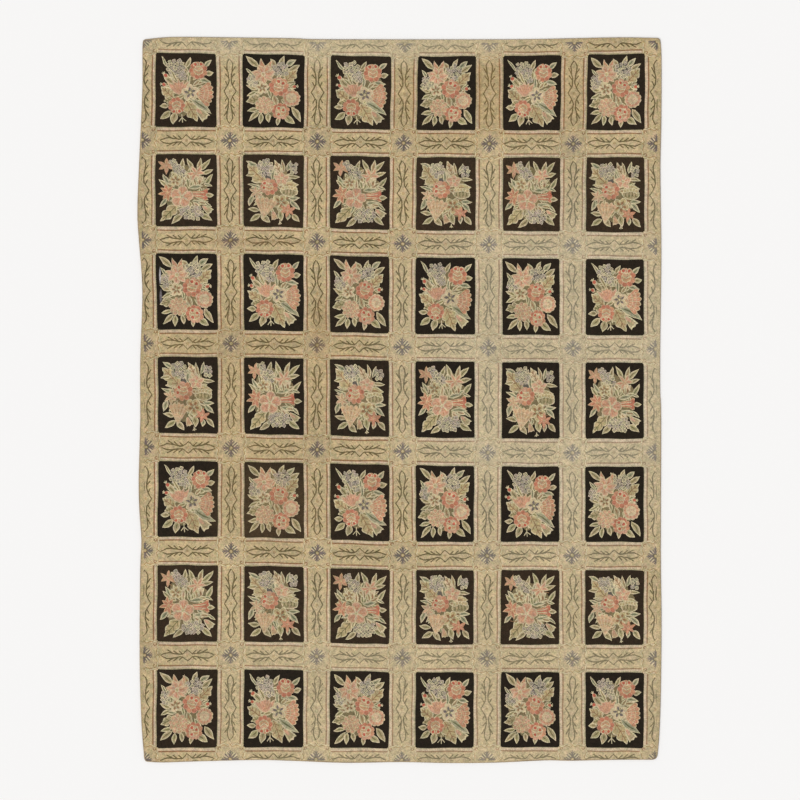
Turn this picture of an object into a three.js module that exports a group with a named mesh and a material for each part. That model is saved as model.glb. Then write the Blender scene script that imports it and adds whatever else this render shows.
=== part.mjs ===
// A hand-hooked wool rug that lies flat on the floor, in millimetres.
// +X runs across the rug, +Y along it and +Z up. The origin is under its middle, on the floor.
import * as THREE from 'three';

const rugWidth = 2740;
const rugLength = 3812;
const rugThickness = 9; // the foundation cloth and the loop pile together
const rimRounding = 3; // the overcast rim rolls over by this much, above and below
const rimSegments = 3;
const stepsPerStation = 4; // outline segments between two stations of a side
const cornerSteps = 5;

const woolColour = '#b9a67c';
const woolRoughness = 0.95;

// How far each side wanders from its straight line, in the order that the outline goes round.
// A station is at, its place along the side from the rug's middle, and out, past the straight line.
const topSide = [
  { at: 1348, out: 0 },
  { at: 1150, out: 3 },
  { at: 890, out: -2 },
  { at: 620, out: -7 },
  { at: 160, out: -8 },
  { at: -430, out: -7 },
  { at: -560, out: -2 },
  { at: -830, out: 2 },
  { at: -1090, out: 5 },
  { at: -1230, out: 4 },
  { at: -1345, out: -7 },
];
const leftSide = [
  { at: 1893, out: -17 },
  { at: 1860, out: -9 },
  { at: 1630, out: -8 },
  { at: 1310, out: 6 },
  { at: 1000, out: 18 },
  { at: 830, out: 9 },
  { at: 670, out: -4 },
  { at: 520, out: -8 },
  { at: 200, out: 3 },
  { at: -110, out: 3 },
  { at: -420, out: 11 },
  { at: -590, out: 7 },
  { at: -740, out: -3 },
  { at: -900, out: 3 },
  { at: -1370, out: 6 },
  { at: -1690, out: -3 },
  { at: -1865, out: -16 },
];
const bottomSide = [
  { at: -1335, out: 0 },
  { at: -1250, out: 4 },
  { at: -1090, out: -1 },
  { at: -760, out: -9 },
  { at: -560, out: -4 },
  { at: -290, out: 6 },
  { at: 0, out: 2 },
  { at: 240, out: 7 },
  { at: 500, out: 5 },
  { at: 760, out: -7 },
  { at: 890, out: -5 },
  { at: 1150, out: -10 },
  { at: 1320, out: -10 },
];
const rightSide = [
  { at: -1864, out: -17 },
  { at: -1800, out: -11 },
  { at: -1690, out: -5 },
  { at: -1500, out: 0 },
  { at: -1140, out: 3 },
  { at: -810, out: -1 },
  { at: -110, out: 1 },
  { at: 50, out: -4 },
  { at: 290, out: -4 },
  { at: 760, out: 2 },
  { at: 1200, out: -3 },
  { at: 1470, out: 2 },
  { at: 1790, out: 3 },
  { at: 1885, out: -2 },
];

// The plan's four sides as points, each moved inwards by the rim's rounding.
function sidePoints() {
  const halfWidth = rugWidth / 2 - rimRounding;
  const halfLength = rugLength / 2 - rimRounding;
  return [
    topSide.map(({ at, out }) => new THREE.Vector2(at, halfLength + out)),
    leftSide.map(({ at, out }) => new THREE.Vector2(-halfWidth - out, at)),
    bottomSide.map(({ at, out }) => new THREE.Vector2(at, -halfLength - out)),
    rightSide.map(({ at, out }) => new THREE.Vector2(halfWidth + out, at)),
  ];
}

// The point that a corner's curve bends towards, where the two sides' end lines cross.
function cornerControl(sideEnd, nextStart, endsOnLongSide) {
  return endsOnLongSide
    ? new THREE.Vector2(sideEnd.x, nextStart.y)
    : new THREE.Vector2(nextStart.x, sideEnd.y);
}

// The closed outline: a smooth curve through each side's stations and a small curve at each corner.
function outlinePoints() {
  const sides = sidePoints();
  const outline = [];
  sides.forEach((stations, i) => {
    const side = new THREE.SplineCurve(stations);
    outline.push(...side.getPoints((stations.length - 1) * stepsPerStation));
    const sideEnd = stations.at(-1);
    const nextStart = sides[(i + 1) % sides.length][0];
    const control = cornerControl(sideEnd, nextStart, i % 2 === 1);
    const corner = new THREE.QuadraticBezierCurve(sideEnd, control, nextStart);
    outline.push(...corner.getPoints(cornerSteps).slice(1, -1));
  });
  return outline;
}

// The slab: flat above and below, with a rolled rim, standing on z = 0.
function rugSlab() {
  const slab = new THREE.ExtrudeGeometry(new THREE.Shape(outlinePoints()), {
    depth: rugThickness - 2 * rimRounding,
    bevelEnabled: true,
    bevelThickness: rimRounding,
    bevelSize: rimRounding,
    bevelSegments: rimSegments,
  });
  slab.computeBoundingBox();
  const { min, max } = slab.boundingBox;
  slab.translate(-(min.x + max.x) / 2, -(min.y + max.y) / 2, -min.z);
  return slab;
}

const wool = new THREE.MeshStandardMaterial({
  color: woolColour,
  roughness: woolRoughness,
  metalness: 0,
});

const rug = new THREE.Mesh(rugSlab(), wool);
rug.name = 'rug';

const model = new THREE.Group();
model.add(rug);

export default model;
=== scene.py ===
import math
import random

import bmesh
import bpy
from bpy.props import FloatProperty, FloatVectorProperty, PointerProperty
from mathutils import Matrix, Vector
from mathutils.bvhtree import BVHTree
from mathutils.geometry import delaunay_2d_cdt


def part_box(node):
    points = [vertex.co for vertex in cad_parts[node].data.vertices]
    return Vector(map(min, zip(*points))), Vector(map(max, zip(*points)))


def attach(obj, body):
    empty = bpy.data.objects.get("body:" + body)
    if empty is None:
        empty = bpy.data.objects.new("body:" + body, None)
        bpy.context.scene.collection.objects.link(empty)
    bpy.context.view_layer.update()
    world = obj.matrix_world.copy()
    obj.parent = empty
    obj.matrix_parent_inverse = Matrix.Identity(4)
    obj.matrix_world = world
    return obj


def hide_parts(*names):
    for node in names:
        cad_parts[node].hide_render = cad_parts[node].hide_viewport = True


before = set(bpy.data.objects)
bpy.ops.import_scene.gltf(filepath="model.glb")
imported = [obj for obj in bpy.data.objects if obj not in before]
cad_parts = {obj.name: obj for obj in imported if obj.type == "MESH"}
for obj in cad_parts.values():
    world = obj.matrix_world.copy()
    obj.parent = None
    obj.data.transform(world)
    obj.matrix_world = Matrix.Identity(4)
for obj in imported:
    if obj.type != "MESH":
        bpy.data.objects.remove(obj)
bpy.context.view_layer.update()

bl_info = {
    "name": "Bouquet trellis rug",
    "version": (1, 0, 0),
    "blender": (4, 5, 0),
    "location": "View3D > Sidebar > Rug",
    "description": "Dresses a hand-hooked wool rug: a straw trellis round black panels of flowers",
    "category": "Object",
}

SLAB = "rug"
MM = 0.001

# Sizes and places below are in mm. X runs across the rug and Y along it, from its middle.
ROW_OF_LOOPS = 5.0
PILE_TOP = 8.5
# How near two points may lie before they are one, where the drawn shapes cut each other and where
# the face is cut along them.
WELD = 0.001
CLOSE = 0.03

# The middle line of each upright band: its X at five places from the far end to the near end, and
# the distance from it to the black panels beside it.
UPRIGHTS = [
    (-1349, -1351, -1336, -1341, -1346, 67),
    (-895, -891, -886, -887, -890, 70),
    (-430, -435, -434, -433, -438, 70),
    (28, 17, 14, 18, 13, 70),
    (475, 472, 467, 462, 462, 72),
    (921, 913, 911, 909, 911, 69),
    (1354, 1350, 1347, 1348, 1346, 62),
]
# The middle line of each level band: its Y at five places from the left to the right, and the
# distance from it to the black panels.
LEVELS = [
    (1893, 1884, 1873, 1877, 1888, 65),
    (1366, 1363, 1351, 1348, 1350, 72),
    (843, 839, 823, 817, 809, 72),
    (300, 294, 278, 271, 268, 72),
    (-246, -255, -269, -277, -277, 74),
    (-793, -800, -819, -820, -822, 75),
    (-1344, -1346, -1359, -1360, -1362, 73),
    (-1896, -1892, -1897, -1892, -1897, 65),
]
HALF_ACROSS = 1346
HALF_ALONG = 1890
PANEL_COLUMNS = len(UPRIGHTS) - 1
PANEL_ROWS = len(LEVELS) - 1

# A common panel, and the part of it that the tables of leaves and flowers reach over.
PANEL_WIDTH = 310.0
PANEL_HEIGHT = 392.0
BOUQUET_WIDTH = 296.0
BOUQUET_HEIGHT = 386.0
# Which bouquet each panel holds, row by row from the far end.
BOUQUET_ROWS = ["ABABAB", "CDCDCD", "BABABA", "DCDCDC", "ABABAB", "CDCDCD", "BABABA"]
# The rows of panels whose black has turned browner.
RUSTY_ROWS = (1, 5)


def linear(hex_colour):
    """An sRGB colour such as #b9a67c as the linear red, green and blue that Blender works in."""
    parts = [int(hex_colour[k : k + 2], 16) / 255 for k in (1, 3, 5)]
    return tuple(c / 12.92 if c <= 0.04045 else ((c + 0.055) / 1.055) ** 2.4 for c in parts)


def dyed(name, description, hex_colour):
    """A colour property for one dyed yarn."""
    return FloatVectorProperty(
        name=name,
        description=description,
        default=linear(hex_colour),
        size=3,
        min=0.0,
        max=1.0,
        subtype="COLOR",
    )


class RugYarns(bpy.types.PropertyGroup):
    """The dyed wools that the rug is hooked from."""

    straw: dyed("Straw", "Ground of the trellis bands", "#bda981")
    honey: dyed("Honey", "Ground inside the star frames and sprigs", "#bca882")
    selvage: dyed("Selvage straw", "Plain strip along the rug's edges", "#b5a27b")
    black: dyed("Black", "Ground of the panels", "#241e17")
    rusty_black: dyed("Rusty black", "The same black where it has turned brown", "#3a2d20")
    pale_sage: dyed("Pale sage", "Row next to the black panels", "#a89c7a")
    blush: dyed("Blush", "Second row beside the panels", "#c8b295")
    russet: dyed("Russet", "Thin line along the bands", "#8f6b4c")
    tan: dyed("Tan", "Line of the star frames", "#a3875c")
    sprig: dyed("Sprig olive", "Drawn line of the sprigs", "#6b5e40")
    gold: dyed("Gold", "Golden leaves", "#b09e75")
    violet: dyed("Violet grey", "Rays of the stars", "#72675f")
    cream: dyed("Cream", "Outlines of leaves and petals", "#c6b894")
    ivory: dyed("Ivory", "Pale petals and light outlines", "#c3ae8b")
    lavender: dyed("Lavender", "Small florets", "#b4a591")
    slate: dyed("Slate", "Shade inside the floret bunches", "#6f685c")
    dusk: dyed("Dusk", "Gaps between the small florets", "#625b51")
    sage: dyed("Sage", "Leaves", "#a1966f")
    khaki: dyed("Khaki", "Leaves", "#a39370")
    frost: dyed("Frost green", "Grey-green leaves", "#9d977a")
    olive: dyed("Olive", "Veins and leaf cores", "#756c4a")
    moss: dyed("Moss", "Dark leaf cores", "#6a6a4c")
    umber: dyed("Umber", "Brown veins and stems", "#8d6e50")
    shade: dyed("Shade", "Filling between the flowers", "#796c4e")
    peach: dyed("Peach", "Flower petals", "#c3a17d")
    fawn: dyed("Fawn", "Brownish flower petals", "#b1926f")
    pink: dyed("Pink", "Flower petals", "#bf967a")
    salmon: dyed("Salmon", "Outer rose petals and lilies", "#b98667")
    coral: dyed("Coral", "The redder petals of the roses", "#b0735a")
    red: dyed("Red", "Rose hearts and buds", "#b1604c")


class RugSizes(bpy.types.PropertyGroup):
    """Sizes that a maker would choose."""

    panel_proud: FloatProperty(
        name="Panel rise",
        description="How far the flower panels stand above the trellis",
        default=0.00035,
        min=0.0,
        unit="LENGTH",
        subtype="DISTANCE",
    )
    edge_width: FloatProperty(
        name="Edge width",
        description="Width of the overcast yarn round the rim",
        default=0.0085,
        min=0.002,
        unit="LENGTH",
        subtype="DISTANCE",
    )
    edge_pitch: FloatProperty(
        name="Stitch pitch",
        description="Distance between two turns of the overcast yarn",
        default=0.0068,
        min=0.002,
        unit="LENGTH",
        subtype="DISTANCE",
    )


# Flat shapes are lists of (x, y) points in mm that go round once. A motif is a list of
# (yarn, shape) pairs, the lowest first. It is drawn about its own zero and points along +X.
# The signs that mirror a part into the four quarters.
FOUR_WAYS = [(-1, -1), (-1, 1), (1, -1), (1, 1)]


def placed(motif, x, y, turn=0.0, size=1.0):
    """Moves, turns and scales a motif."""
    cos, sin = size * math.cos(math.radians(turn)), size * math.sin(math.radians(turn))
    return [
        (yarn, [(x + cos * px - sin * py, y + sin * px + cos * py) for px, py in shape])
        for yarn, shape in motif
    ]


def all_round(motif, count, start=0.0):
    """The motif as often as asked, turned evenly about its zero. The start is a share of one turn."""
    return [part for k in range(count) for part in placed(motif, 0, 0, 360 * (k + start) / count)]


def around(radius, angle):
    """A place at a distance and an angle in degrees from zero."""
    return radius * math.cos(math.radians(angle)), radius * math.sin(math.radians(angle))


def ring(radius, lobes=0, depth=0.0, stretch=1.0):
    """A round shape, with soft lobes if asked."""
    steps = 4 * lobes if lobes else 6 if radius < 4.2 else 8 if radius < 8 else 12
    shape = []
    for k in range(steps):
        angle = math.tau * k / steps
        reach = radius * (1 - depth * (1 - abs(math.sin(lobes * angle / 2)))) if lobes else radius
        shape.append((reach * stretch * math.cos(angle), reach * math.sin(angle)))
    return shape


def stroke(path, width):
    """A row of loops along a path, as a shape."""
    left, right = [], []
    for k, (x, y) in enumerate(path):
        x0, y0 = path[max(k - 1, 0)]
        x1, y1 = path[min(k + 1, len(path) - 1)]
        half = width / 2 / math.hypot(x1 - x0, y1 - y0)
        left.append((x - (y1 - y0) * half, y + (x1 - x0) * half))
        right.append((x + (y1 - y0) * half, y - (x1 - x0) * half))
    return left + right[::-1]


def blade(length, width, inset=0.0, bend=0.0, lobes=0):
    """A leaf's shape from its stalk at zero to its tip, drawn in from the edge by inset."""
    start = 0.8 * inset
    end = length - 1.6 * inset
    half = width / 2 - inset
    steps = 6 + 6 * lobes
    upper, lower = [], []
    for k in range(1, steps):
        share = k / steps
        x = start + (end - start) * share
        out = half * math.sin(math.pi * share**0.85)
        if lobes:
            out *= 0.66 + 0.34 * abs(math.cos(math.pi * lobes * share))
        middle = bend * length * 4 * share * (1 - share)
        upper.append((x, middle + out))
        lower.append((x, middle - out))
    return [(start, 0)] + upper + [(end, 0)] + lower[::-1]


# A leaf or petal is an edge, a body and a core.
TONES = {
    "sage": ("cream", "sage", "olive"),
    "khaki": ("cream", "khaki", "olive"),
    "grey": ("cream", "frost", "moss"),
    "moss": ("cream", "sage", "moss"),
    "golden": ("cream", "gold", "olive"),
    "umber": ("cream", "khaki", "umber"),
    "salmon": ("ivory", "salmon", "pink"),
    "peach": ("ivory", "peach", "pink"),
    "coral": ("peach", "coral", "salmon"),
    "blush": ("ivory", "fawn", "pink"),
    "pink": ("ivory", "pink", "salmon"),
    "fawn": ("ivory", "peach", "fawn"),
    "ivory": ("cream", "ivory", "violet"),
    "bronze": ("cream", "ivory", "umber"),
    "wheat": ("cream", "gold", "umber"),
    "barn": ("cream", "gold", "russet"),
    "bud": ("cream", "khaki", "pink"),
    "ember": ("salmon", "coral", "pink"),
    "faded": ("fawn", "pink", "salmon"),
    "shadow": ("slate", "dusk", "dusk"),
}


def leaf(length, width, tone, bend=0.0):
    """A pointed leaf or petal in pale outline, with a darker core where it is wide enough."""
    edge, body, core = TONES[tone]
    motif = [(edge, blade(length, width, 0.0, bend))]
    if width > 2.2 * ROW_OF_LOOPS:
        motif.append((body, blade(length, width, 0.95 * ROW_OF_LOOPS, bend)))
    if width > 4.4 * ROW_OF_LOOPS:
        motif.append((core, blade(length, width, 0.39 * width, bend)))
    elif width > 1.5 * ROW_OF_LOOPS:
        path = [(length * t, bend * length * 4 * t * (1 - t)) for t in (0.15, 0.4, 0.65, 0.8)]
        motif.append((core, stroke(path, 0.7 * ROW_OF_LOOPS)))
    return motif


def oak_leaf(length, width, tone):
    """A leaf with round lobes down both sides and a vein to each lobe."""
    edge, body, core = TONES[tone]
    motif = [(edge, blade(length, width, lobes=3)), (body, blade(length, width, ROW_OF_LOOPS, lobes=3))]
    motif.append((core, stroke([(0.05 * length, 0), (0.45 * length, 1), (0.85 * length, 0)], 4.0)))
    for at in (0.16, 0.42, 0.64):
        reach = 0.30 * width * math.sin(math.pi * (at + 0.12))
        for side in (-1, 1):
            vein = [(at * length, 0), ((at + 0.15) * length, side * reach)]
            motif.append((core, stroke(vein, 3.6)))
    return motif


def fork(size):
    """A small three-pronged tuft."""
    motif = [("cream", stroke([(0, 0), (0.5 * size, 0)], 4.6))]
    prong = [("cream", stroke([(0, 0), (0.6 * size, 0)], 4.2))]
    for angle in (-42, 0, 42):
        motif += placed(prong, 0.42 * size, 0, angle)
    return motif


def bud(size):
    """A closed red bud in pale sepals, with a tuft at its tip."""
    length, width = 2.2 * size, 1.7 * size
    motif = placed(fork(1.4 * size), 1.3 * size, 0)
    motif += [("cream", blade(length, width)), ("peach", blade(length, width, 0.25 * size))]
    return motif + placed([("red", ring(0.62 * size))], 1.25 * size, 0)


def bunch(width, height, chance):
    """Lobed florets in pale outline, packed in an egg-shaped bunch that hangs towards +X."""
    motif = [("dusk", [(x * height / width, y) for x, y in ring(0.44 * width, 9, 0.12)])]
    pitch = 21.0
    rows = max(2, round(height / (0.87 * pitch)))
    for k in range(rows):
        share = (k + 0.5) / rows
        x = (share - 0.5) * height
        reach = 0.5 * width * math.sqrt(max(0.05, 1 - (1.85 * share - 0.85) ** 2))
        count = max(1, round(2 * reach / pitch))
        for n in range(count):
            y = (n + 0.5 - count / 2) * 2 * reach / count
            rim = chance.choice(("cream", "lavender"))
            dark = chance.choice(("dusk", "slate"))
            floret = [(rim, ring(chance.uniform(10.8, 12.8), 4, 0.26)), (dark, ring(6.8, 4, 0.34))]
            floret.append(("cream", ring(chance.uniform(2.6, 3.8))))
            where = (x + chance.uniform(-3, 3), y + chance.uniform(-3, 3))
            motif += placed(floret, *where, chance.uniform(0, 90))
    return motif


# Each rose: its nine outer petals from the top round to the left, coral, salmon or pink; its red
# hearts as angle and reach; the reach of its cup; and how wide the rows in the cup open.
ROSES = {
    "two": ("srrsrrsrs", [(-24, 0.76), (24, 0.76)], 0.56, 0.9),
    "round": ("psrrsrrss", [(16, 0.58), (-38, 0.54)], 0.54, 0.2),
    "half": ("rrrsppssr", [(34, 0.44), (-66, 0.32), (150, 0.44)], 0.64, 0.3),
    "wide": ("psspsrsrs", [(52, 0.64), (104, 0.60)], 0.50, 0.6),
}
PETAL_YARNS = {"r": "coral", "s": "salmon", "p": "pink"}


def rose(radius, kind):
    """A rose seen from the front: lobed outer petals, some of them red, round a pale cup."""
    petals, hearts, cup, opening = ROSES[kind]
    motif = [("salmon", ring(0.88 * radius))]
    for k, letter in enumerate(petals):
        petal = [("pink", ring(0.31 * radius, 4, 0.1)), (PETAL_YARNS[letter], ring(0.25 * radius))]
        motif += placed(petal, *around(0.72 * radius, 40 * k + 8), 40 * k)
    motif += [("ivory", ring(cup * radius, 7, 0.1)), ("fawn", ring(cup * radius - 4.5, 7, 0.1))]
    for foot, yarn in ((0.62, "cream"), (0.22, "pink"), (-0.16, "cream"), (-0.5, "salmon")):
        side = math.sqrt(1 - foot * foot * 0.8)
        row = [(foot + opening * 0.55, side), (foot, 0.0), (foot + opening * 0.55, -side)]
        row = [(cup * x * radius, 0.86 * cup * y * radius) for x, y in row]
        motif.append((yarn, stroke(row, 0.78 * ROW_OF_LOOPS)))
    for angle, reach in hearts:
        heart = [("ivory", ring(0.28 * radius, 5, 0.14)), ("red", ring(0.18 * radius, 3, 0.2))]
        motif += placed(heart, *around(reach * radius, angle), angle)
    return motif


def lily(radius, tone, petals):
    """Pointed overlapping petals all round a broad eye."""
    edge = TONES[tone][0]
    width = 1.4 * radius * math.sin(math.pi / petals)
    motif = []
    for k in range(petals):
        petal = leaf(radius * (1 - 0.08 * (k % 2)), width, tone, 0.05 * (k % 3 - 1))
        petal.append((edge, stroke([(0.3 * radius, 0.1 * width), (0.72 * radius, 0.14 * width)], 3.0)))
        motif += placed(petal, 0, 0, 360 * k / petals)
    return motif + [("cream", ring(0.2 * radius, 6, 0.2)), ("gold", ring(0.12 * radius))]


def starry(radius, tone, petals):
    """Narrow pointed petals round a small eye."""
    motif = []
    for k in range(petals):
        petal = leaf(radius * (1 - 0.12 * (k % 2)), 0.42 * radius, tone, 0.06 * (k % 3 - 1))
        motif += placed(petal, 0, 0, 360 * k / petals)
    return motif + [("peach", ring(0.12 * radius)), ("gold", ring(0.06 * radius))]


def tulip(radius, tone, petals):
    """Long petals that spread like a hand from a round foot."""
    _, body, core = TONES[tone]
    motif = []
    for k in range(petals):
        angle = 78 * (k / (petals - 1) - 0.5)
        motif += placed(leaf(radius * (1 - 0.1 * (k % 2)), 0.34 * radius, tone), 0, 0, angle)
    motif += placed([(body, ring(0.36 * radius, 7, 0.12))], 0.40 * radius, 0)
    for k in range(petals):
        angle = 60 * (k / (petals - 1) - 0.5)
        motif.append((core, stroke([around(0.2 * radius, angle), around(0.72 * radius, angle)], 3.6)))
    return motif


def open_flower(radius, tone, petals):
    """Broad round petals round an eye, each with a dark mark in its middle."""
    edge, body, core = TONES[tone]
    round_petal = [(edge, ring(0.40 * radius, 5, 0.08)), (body, ring(0.40 * radius - 0.9 * ROW_OF_LOOPS))]
    petal = placed(round_petal, 0.58 * radius, 0)
    petal += placed([(core, blade(0.5 * radius, 0.28 * radius))], 0.16 * radius, 0)
    gap = [("olive", stroke([(4, 0), (0.5 * radius, 0)], 3.4))]
    motif = []
    for k in range(petals):
        motif += placed(petal, 0, 0, 360 * k / petals) + placed(gap, 0, 0, 360 * (k + 0.5) / petals)
    return motif + [("cream", ring(0.14 * radius)), ("gold", ring(0.07 * radius))]


def carnation(radius, tone, spread):
    """A fan of rays with a scalloped outer edge."""
    edge, body, core = TONES[tone]
    scallops = max(4, round(spread / 13))

    def fan(reach, foot):
        steps = 4 * scallops
        shape = [(foot, 0)]
        for k in range(steps + 1):
            angle = math.radians(spread * (k / steps - 0.5))
            out = reach * (0.91 + 0.09 * abs(math.sin(math.pi * k / 4)))
            shape.append((out * math.cos(angle), out * math.sin(angle)))
        return shape

    motif = [(edge, fan(radius, 0.0)), (body, fan(radius - ROW_OF_LOOPS, 0.12 * radius))]
    for k in range(scallops):
        angle = spread * ((k + 0.5) / scallops - 0.5)
        ray = [around(0.5 * radius, 0.9 * angle), around(0.84 * radius, angle)]
        motif.append((core, stroke(ray, 5.0)))
        if k:
            angle = spread * (k / scallops - 0.5)
            ray = [around(0.25 * radius, 0.8 * angle), around(0.9 * radius, angle)]
            motif.append((edge, stroke(ray, 3.4)))
    for share in (0.34, 0.56, 0.75):
        arc = [around(share * radius, spread * 0.9 * (k / 6 - 0.5) + 4 * (k % 2)) for k in range(7)]
        motif.append((edge, stroke(arc, 3.0)))
    return motif


def round_flower(radius, tone):
    """A full round flower with a notched rim and a pale ring inside."""
    edge, body, core = TONES[tone]
    motif = [(edge, ring(radius, 12, 0.12)), (body, ring(0.88 * radius, 12, 0.08))]
    for angle in range(0, 360, 30):
        motif += placed([(core, blade(0.3 * radius, 0.16 * radius))], *around(0.55 * radius, angle), angle)
    motif += [(edge, ring(0.60 * radius, 8, 0.1)), ("ivory", ring(0.48 * radius))]
    hook = [(0.05 * radius, 0.12 * radius), (0.3 * radius, 0), (0.05 * radius, -0.14 * radius)]
    for angle in (20, 140, 260):
        motif += placed([(body, stroke(hook, 3.4))], 0, 0, angle)
    return motif


def peony(radius, tone):
    """Rings of scales, the outer ones first."""
    edge, body, core = TONES[tone]
    motif = [(edge, ring(0.9 * radius, 11, 0.1))]
    scale = [(edge, ring(0.25 * radius)), (body, ring(0.25 * radius - 0.6 * ROW_OF_LOOPS))]
    scale += placed([(core, ring(0.11 * radius))], 0.04 * radius, 0)
    for share, count in ((0.76, 10), (0.46, 7), (0.18, 3)):
        motif += all_round(placed(scale, share * radius, 0), count, share)
    return motif


def hibiscus(radius, tone):
    """Five broad overlapping petals with pale lines between them."""
    edge, body, core = TONES[tone]
    reach = 0.47 * radius
    petal = [(edge, ring(reach, 5, 0.08)), (body, ring(reach - 0.9 * ROW_OF_LOOPS, 3, 0.1))]
    petal = placed(petal, 0.54 * radius, 0)
    for way in (-1, 1):
        petal.append((core, stroke([(0.3 * radius, way * 3), (0.74 * radius, way * 9)], 5.0)))
    line = [("cream", stroke([(0, 0), (0.52 * radius, 0)], 4.2))]
    motif = all_round(petal, 5) + all_round(line, 5, 0.5)
    return motif + [("cream", ring(0.15 * radius, 5, 0.2)), ("gold", ring(0.07 * radius))]


def trumpet(length, tone):
    """A long striped flower that flares at its mouth."""
    edge, body, core = TONES[tone]
    side = [(0, 13), (0.4 * length, 16), (0.68 * length, 20), (0.84 * length, 32), (length, 30)]
    side.append((0.95 * length, 9))
    outline = side + [(1.03 * length, 0)] + [(x, -y) for x, y in side[::-1]]
    motif = [(edge, outline), (body, [(0.03 * length + 0.93 * x, 0.84 * y) for x, y in outline])]
    for y in (-6.0, 6.0):
        motif.append(("ivory", stroke([(4, y), (0.45 * length, 1.1 * y), (0.78 * length, 1.8 * y)], 5.0)))
    lip = [(0.86, 26), (0.93, 13), (0.90, 0), (0.93, -13), (0.86, -26)]
    lip = [(share * length, y) for share, y in lip]
    motif.append(("coral", stroke(lip, 9.5)))
    return motif + [("red", stroke([(x + 3, 0.7 * y) for x, y in lip], 4.5))]


def pod(radius):
    """A broad netted seed pod with a row of scales above and a brown stalk round its foot."""
    motif = [("umber", stroke([around(1.3 * radius, angle) for angle in range(140, 266, 25)], 7.0))]
    motif += [("cream", ring(radius, 7, 0.06, 1.6)), ("khaki", ring(radius - ROW_OF_LOOPS, 0, 0.0, 1.7))]
    for k in (-0.8, -0.2, 0.4, 1.0):
        for slope in (-1, 1):
            net = [((k - 0.3) * radius, -0.6 * slope * radius), (k * radius, 0.5 * slope * radius)]
            motif.append(("olive", stroke(net, 3.8)))
    for k in range(-2, 3):
        scale = [("cream", ring(0.4 * radius)), ("gold", ring(0.4 * radius - 4.0))]
        motif += placed(scale, 0.52 * k * radius, (0.78 - 0.05 * k * k) * radius)
    return motif


def bell(length, tone):
    """A drooping bell with a scalloped rim."""
    edge, body, core = TONES[tone]
    half = 0.34 * length
    outline = [(0, 4), (0.3 * length, 0.7 * half), (0.75 * length, half), (length, 1.05 * half)]
    outline += [(0.93 * length, 0.55 * half), (1.02 * length, 0)]
    outline += [(x, -y) for x, y in outline[-2::-1]]
    motif = [(edge, outline), (body, [(0.1 * length + 0.78 * x, 0.70 * y) for x, y in outline])]
    motif.append((core, blade(0.62 * length, 0.7 * half)))
    return motif


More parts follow.
